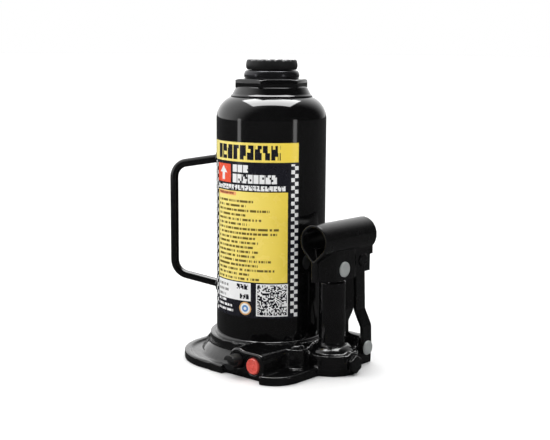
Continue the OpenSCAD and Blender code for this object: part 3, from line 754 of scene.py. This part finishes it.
def top_nut():
    """Gland nut: a crisp hexagon over a cone that seats on the can."""
    hex_foot = NUT_TOP - HEX_H
    bpy.ops.object.select_all(action="DESELECT")
    bpy.ops.mesh.primitive_cylinder_add(vertices=6, radius=HEX_CORNER_R * MM, depth=HEX_H * MM,
                                        location=(0, 0, (NUT_TOP - HEX_H / 2) * MM))
    hexagon = apply_place(named("nut_hexagon"))
    hexagon.data.transform(Matrix.Rotation(math.radians(HEX_TURN - 90), 4, "Z"))
    crown = turned("nut_crown", [
        (0, hex_foot - 2), (HEX_CORNER_R + 3, hex_foot - 2), (HEX_CORNER_R + 3, NUT_TOP - 1.9),
        (HEX_CORNER_R - 2.6, NUT_TOP + 0.02), (0, NUT_TOP + 0.02)])
    finish_with(hexagon, "BOOLEAN", operation="INTERSECT", solver="EXACT", object=crown)
    bpy.data.objects.remove(crown)
    bore = turned("nut_bore", [
        (0, hex_foot - 1), (NUT_BORE_R, hex_foot - 1), (NUT_BORE_R, NUT_TOP - 0.9),
        (RAM_R + 1.4, NUT_TOP + 1), (0, NUT_TOP + 1)])
    cut_away(hexagon, bore)
    eased(hexagon, 0.35, 28)
    skirt = turned("nut_skirt", [
        (NUT_BORE_R, hex_foot + 0.6), (HEX_CORNER_R - 1.2, hex_foot + 0.6, 0.4),
        (HEX_CORNER_R - 0.6, hex_foot - 0.5, 0.6), (NUT_CONE_R - 1.4, TANK_TOP + 2.0, 1.2),
        (NUT_CONE_R, TANK_TOP + 0.9, 0.7), (NUT_CONE_R - 0.2, TANK_TOP - 0.3, 0.3),
        (NUT_CONE_R - 1.7, TANK_TOP - 0.3), (NUT_CONE_R - 1.7, TANK_TOP - 17),
        (RAM_R + 6.1, TANK_TOP - 17), (RAM_R + 6.1, TANK_TOP + 0.6),
        (NUT_BORE_R, TANK_TOP + 0.6)], loop=True, steps=128)
    fit_up(joined("top_nut_piece", [hexagon, skirt]), "top_nut", ENAMEL)


def ram_sleeve():
    """Ram: a ground tube whose end is rounded over like a bead."""
    foot = low_of("ram").z
    bore = SCREW_R + 0.15
    outline = [
        (bore + 1.9, foot), (RAM_R, foot), (RAM_R, NUT_TOP - 1.5, 0.4),
        (RAM_R - 0.55, NUT_TOP - 0.6, 0.5), (RAM_R - 0.5, NUT_TOP + 0.7, 0.6),
        (RAM_R, NUT_TOP + 1.9, 1.2), (RAM_R - 0.05, RAM_TOP - 2.0, 1.2),
        (RAM_R - 1.0, RAM_TOP - 0.5, 0.8), (RAM_R - 2.0, RAM_TOP, 0.5),
        (bore + 0.8, RAM_TOP, 0.4), (bore, RAM_TOP - 0.9),
        (bore, RAM_TOP - 27), (bore + 1.9, RAM_TOP - 28)]
    fit_up(turned("ram_sleeve", outline, loop=True, steps=128), "ram", RAM_STEEL)


def saddle():
    """Forged head of the extension screw: a bulging side under a notched, dished top."""
    foot = RAM_TOP + 0.35
    head = turned("saddle", [
        (0, foot), (SADDLE_R - 1.1, foot, 0.5), (SADDLE_R - 0.25, foot + 1.6, 1.0),
        (SADDLE_R, foot + 3.4, 1.4), (SADDLE_R - 0.4, JACK_TOP - 1.6, 1.2),
        (SADDLE_R - 1.1, JACK_TOP + 0.15, 0.5), (SADDLE_R - 6.6, JACK_TOP, 0.6),
        (SADDLE_R - 7.4, JACK_TOP - 1.3, 0.6), (5, JACK_TOP - 1.5, 1), (4, JACK_TOP - 2.6, 0.6),
        (0, JACK_TOP - 3.4)], steps=128)
    for i in range(SADDLE_NOTCHES):
        angle = 360 * i / SADDLE_NOTCHES
        notch_r = 1.15 + 0.25 * math.sin(5.3 * i)
        at = (*polar(SADDLE_R - 3, angle), JACK_TOP + 0.75 - 0.3 * notch_r)
        cut_away(head, cutter_bar("notch", notch_r, 9, at, (*polar(1, angle), 0)))
    return rippled(melted(head, 0.33), 0.22, 3.2)


def screw_and_saddle():
    """Extension screw: its saddle on a plain shank as thick as the root of its thread."""
    foot = low_of("extension_screw").z
    shank = turned("screw_shank", [
        (0, foot), (THREAD_ROOT_R, foot, 0.6), (THREAD_ROOT_R, RAM_TOP + 1.0), (0, RAM_TOP + 1.0)],
        steps=80)
    fit_up(joined("extension_screw_piece", [saddle(), shank]), "extension_screw", FORGED)


# ---------------------------------------------------------------- carry handle

def bent_rod(name, corners, radius, bend, segments=8):
    """A rod bent round its corners: straight lengths with true arcs between them."""
    route = [Vector(corners[0])]
    for before, here, after in zip(corners, corners[1:], corners[2:]):
        before, here, after = Vector(before), Vector(here), Vector(after)
        back, ahead = (before - here).normalized(), (after - here).normalized()
        half = back.angle(ahead) / 2
        centre = here + (back + ahead).normalized() * bend / math.sin(half)
        start, end = here + back * bend / math.tan(half), here + ahead * bend / math.tan(half)
        for k in range(segments + 1):
            arm = (start - centre).normalized().slerp((end - centre).normalized(), k / segments)
            route.append(centre + arm * bend)
    route.append(Vector(corners[-1]))
    curve = bpy.data.curves.new(name, "CURVE")
    curve.dimensions = "3D"
    curve.bevel_depth = radius * MM
    curve.bevel_resolution = 7
    curve.use_fill_caps = True
    spline = curve.splines.new("POLY")
    spline.points.add(len(route) - 1)
    for point, place in zip(spline.points, route):
        point.co = (*(place * MM), 1)
    rod = bpy.data.objects.new(name, curve)
    bpy.context.scene.collection.objects.link(rod)
    only(rod)
    bpy.ops.object.convert(target="MESH")
    tidy_mesh(bpy.context.object)
    return smooth(bpy.context.object, 50)


def carry_handle():
    """Round rod, bent into a grip, with a lumpy weld bead at each end."""
    out = Vector((*polar(1, HANDLE_TURN), 0))
    up = Vector((0, 0, 1))
    side = Vector((-out.y, out.x, 0))
    root = out * (TANK_R - 1.0)
    grip = out * GRIP_R
    rod = bent_rod("carry_rod", [root + up * HANDLE_TOP, grip + up * (HANDLE_TOP - HANDLE_LEAN),
                                 grip + up * (HANDLE_LOW + HANDLE_LEAN), root + up * HANDLE_LOW],
                   ROD_R, 12)
    fit_up(rod, "carry_handle", ENAMEL)
    drops = 7
    beads = []
    for height, slope in ((HANDLE_TOP, -1), (HANDLE_LOW, 1)):
        for k in range(drops):
            turn = 2 * math.pi * k / drops
            bpy.ops.object.select_all(action="DESELECT")
            bpy.ops.mesh.primitive_ico_sphere_add(subdivisions=3, radius=1)
            drop = named("weld_drop")
            size = 2.5 + 0.5 * math.sin(3.1 * k + slope)
            on_wall = out * (TANK_R + 0.5 + 0.4 * math.cos(2.3 * k)) + up * (height + slope * 0.4)
            round_rod = (side * math.cos(turn) + up * math.sin(turn)) * (ROD_R + 0.5)
            place = Matrix.Translation((on_wall + round_rod) * MM)
            drop.data.transform(place @ Matrix.Scale(size * MM, 4))
            beads.append(drop)
    weld = melted(joined("handle_weld_beads", beads), 0.5)
    return fit_up(rippled(weld, 0.5, 3.0), "handle_welds", CASTING)


# ---------------------------------------------------------------- pump and link

def pump_barrel():
    """Turned barrel, rounded at its top and flared where it meets the base."""
    foot, top = low_of("pump_barrel").z, high_of("pump_barrel").z
    outline = [
        (PLUNGER_R + 0.08, foot), (PUMP_R - 1, foot), (PUMP_R - 1, BOSS_TOP - 1.4),
        (PUMP_R + 2.0, BOSS_TOP - 1.4), (PUMP_R + 1.7, BOSS_TOP + 0.1, 0.7),
        (PUMP_R + 0.2, BOSS_TOP + 1.5, 1.4), (PUMP_R, BOSS_TOP + 4.5, 1.0),
        (PUMP_R, top - 1.3, 0.6), (PUMP_R - 1.2, top, 0.5), (PLUNGER_R + 1.9, top, 0.3),
        (PLUNGER_R + 1.8, top - 2.5), (PLUNGER_R + 0.08, top - 2.5)]
    barrel = turned("pump_cylinder", outline, (PUMP_X, 0), loop=True)
    return fit_up(barrel, "pump_barrel", ENAMEL)


def rivet(name, node, head_r, material):
    """Pin along X whose two ends are headed over, with a faint ring from the punch."""
    half = (high_of(node).x - low_of(node).x) / 2
    face = half - PIN_PROUD
    dish = 0.25
    end = [(PIN_R, face - 0.8), (head_r - 0.5, face - 0.8), (head_r, face, 0.3),
           (head_r - 0.1, half - 0.75, 0.5), (head_r - 1.1, half - 0.12, 0.5),
           (head_r * 0.52, half - 0.02, 0.2), (head_r * 0.44, half - dish, 0.2),
           (0, half - dish * 0.6)]
    outline = [(r, -z, *more) for r, z, *more in reversed(end)] + end
    pin = turned(name, outline, steps=64)
    lay_along(pin, (1, 0, 0), (PUMP_X, *middle(node).yz))
    return fit_up(pin, node, material)


def pressed_socket():
    """Handle socket, pressed from one sheet: its corners are round and its mouth a little drawn."""
    piece = melted(taken_from("handle_socket", "pressed_socket"), 0.42, 2, 0.45)
    return fit_up(piece, "handle_socket", SATIN)


def link_plates():
    """The two sheared plates of the link, their edges rounded by paint."""
    for side in ("left", "right"):
        plate = melted(taken_from("link_plate_" + side, "link_side_" + side), 0.36)
        fit_up(plate, "link_plate_" + side, SATIN)


def plunger_rod():
    """Ground plunger with its slotted eye."""
    piece = eased(taken_from("pump_plunger", "plunger_rod"), 0.3)
    return fit_up(piece, "pump_plunger", BARE_STEEL)


# ---------------------------------------------------------------- valves

def red_cap():
    """Moulded cap over the relief valve, with a rim, a ring groove and a gate mark."""
    low, high, centre = low_of("relief_cap"), high_of("relief_cap"), middle("relief_cap")
    radius, depth = (high.x - low.x) / 2, high.y - low.y
    cap = turned("relief_cover", [
        (0, 0), (radius, 0), (radius, depth - 0.9, 0.3), (radius - 0.5, depth - 0.1, 0.4),
        (radius - 1.1, depth - 0.1, 0.2), (radius - 1.5, depth - 0.5, 0.2),
        (radius * 0.45, depth - 0.5, 0.15), (radius * 0.40, depth - 0.75, 0.15),
        (radius * 0.30, depth - 0.75, 0.15), (radius * 0.26, depth - 0.45, 0.15),
        (0, depth - 0.3)], steps=72)
    lay_along(cap, (0, -1, 0), (centre.x, high.y, centre.z))
    return fit_up(cap, "relief_cap", RED)


def release_knob():
    """Release screw, cut from bar, with its slot for the handle's end."""
    piece = eased(taken_from("release_screw", "release_spindle"), 0.35)
    return fit_up(piece, "release_screw", FORGED)


def suction_nut():
    """Hexagon plug that closes the suction valve, thick with paint."""
    piece = taken_from("suction_plug", "suction_nut")
    dome_h = 1.9
    dome = turned("suction_dome", [
        (0, 0), (6.2, 0), (6.0, 0.8, 0.4), (4.6, 1.5, 0.8), (0, dome_h)], steps=48)
    face = high_of("suction_plug").x - dome_h - 0.05
    lay_along(dome, (1, 0, 0), (face, *middle("suction_plug").yz))
    trimmed = melted(joined("suction_nut", [piece, dome]), 0.36)
    return fit_up(trimmed, "suction_plug", CASTING)


def delivery_cap():
    """Round plug over the delivery valve, its edge lost under the paint."""
    low, high = low_of("delivery_plug"), high_of("delivery_plug")
    radius, stem_r = (high.x - low.x) / 2, 3.9
    cap = turned("delivery_cap", [
        (0, low.z), (stem_r, low.z), (stem_r, BOSS_TOP - 1.1), (radius, BOSS_TOP - 1.1),
        (radius - 0.1, BOSS_TOP - 0.1, 0.4), (radius - 1.4, high.z - 0.5, 1.0), (0, high.z)],
        middle("delivery_plug").xy, steps=64)
    rippled(cap, 0.3, 4)
    return fit_up(cap, "delivery_plug", CASTING)


def filler_bung():
    """Rubber bung with a ribbed flange, on the side of the can."""
    bung = turned("filler_bung", [
        (0, -8.4), (4.4, -8.4, 0.5), (5.3, -6.6, 0.4), (4.9, -5.2, 0.3), (4.9, -0.9),
        (7.3, -0.9), (7.4, 0.4, 0.4), (6.6, 1.2, 0.5), (4.2, 1.2, 0.2), (3.8, 0.7, 0.2),
        (2.2, 0.7, 0.2), (1.8, 1.5, 0.3), (0, 1.7)], steps=64)
    at = (*polar(TANK_R + 0.8, FILLER_TURN), middle("filler_plug").z)
    lay_along(bung, FILLER_AXIS, at)
    return fit_up(bung, "filler_plug", RUBBER)


# ---------------------------------------------------------------- label

def wrapped_label():
    """Printed film on the can: a strip spun round the axis, then given its thickness."""
    edge = polar(TANK_R + FILM_GAP, LABEL_MID + LABEL_ARC / 2)
    heights = (low_of("label").z, high_of("label").z)
    film = drawn("label_film", [Vector((*edge, z)) * MM for z in heights])
    bpy.ops.mesh.spin(steps=110, angle=math.radians(LABEL_ARC), center=(0, 0, 0), axis=(0, 0, 1))
    bpy.ops.object.mode_set(mode="OBJECT")
    if film.data.polygons[0].normal.dot(film.data.polygons[0].center) < 0:
        only(film)
        bpy.ops.object.mode_set(mode="EDIT")
        bpy.ops.mesh.select_all(action="SELECT")
        bpy.ops.mesh.flip_normals()
        bpy.ops.object.mode_set(mode="OBJECT")
    finish_with(film, "SOLIDIFY", thickness=FILM * MM, offset=1)
    return fit_up(smooth(film, 30), "label", label_print())


place_camera()
light_studio()
lay_floor()

ENAMEL = smooth_enamel()
CASTING = cast_enamel()
SATIN = satin_enamel()
FORGED = forged_black()
DARK_STEEL = steel("blackened_steel", (0.035, 0.035, 0.037), 0.42, metallic=0.6)
RAM_STEEL = steel("polished_black_steel", (0.06, 0.06, 0.065), 0.16, (300, 300, 1500), 0.85)
BARE_STEEL = steel("ground_steel", (0.55, 0.55, 0.57), 0.3)
ZINC = steel("zinc_plate", (0.62, 0.65, 0.64), 0.42, (500, 500, 500), 0.55)
BALL_STEEL = steel("bright_steel", (0.75, 0.75, 0.77), 0.1)
RUBBER = rubber()
SEAL = rubber("seal_polymer", (0.03, 0.08, 0.10))
COPPER = steel("soft_copper", (0.7, 0.36, 0.22), 0.35)
BRASS = steel("brass_wire", (0.7, 0.52, 0.22), 0.35)
RED = red_plastic()
FINISH = {
    "cast_black": CASTING, "gloss_black": ENAMEL, "ram_finish": RAM_STEEL,
    "dark_steel": DARK_STEEL, "bare_steel": BARE_STEEL, "ball_steel": BALL_STEEL, "zinc": ZINC,
    "rubber": RUBBER, "seal_polymer": SEAL, "copper": COPPER, "brass_mesh": BRASS,
    "red_plastic": RED, "label_film": ENAMEL,
}
for node_name, cad_node in NODES.items():
    cad_node.data.materials.clear()
    cad_node.data.materials.append(FINISH[SLOT_OF[node_name]])

base_casting()
reservoir()
top_nut()
ram_sleeve()
screw_and_saddle()
carry_handle()
pump_barrel()
pressed_socket()
link_plates()
plunger_rod()
rivet("plunger_rivet", "plunger_pin", 5.75, ZINC)
rivet("base_rivet", "link_base_pin", 5.5, ZINC)
rivet("top_rivet", "link_top_pin", 5.2, SATIN)
red_cap()
release_knob()
suction_nut()
delivery_cap()
filler_bung()
wrapped_label()
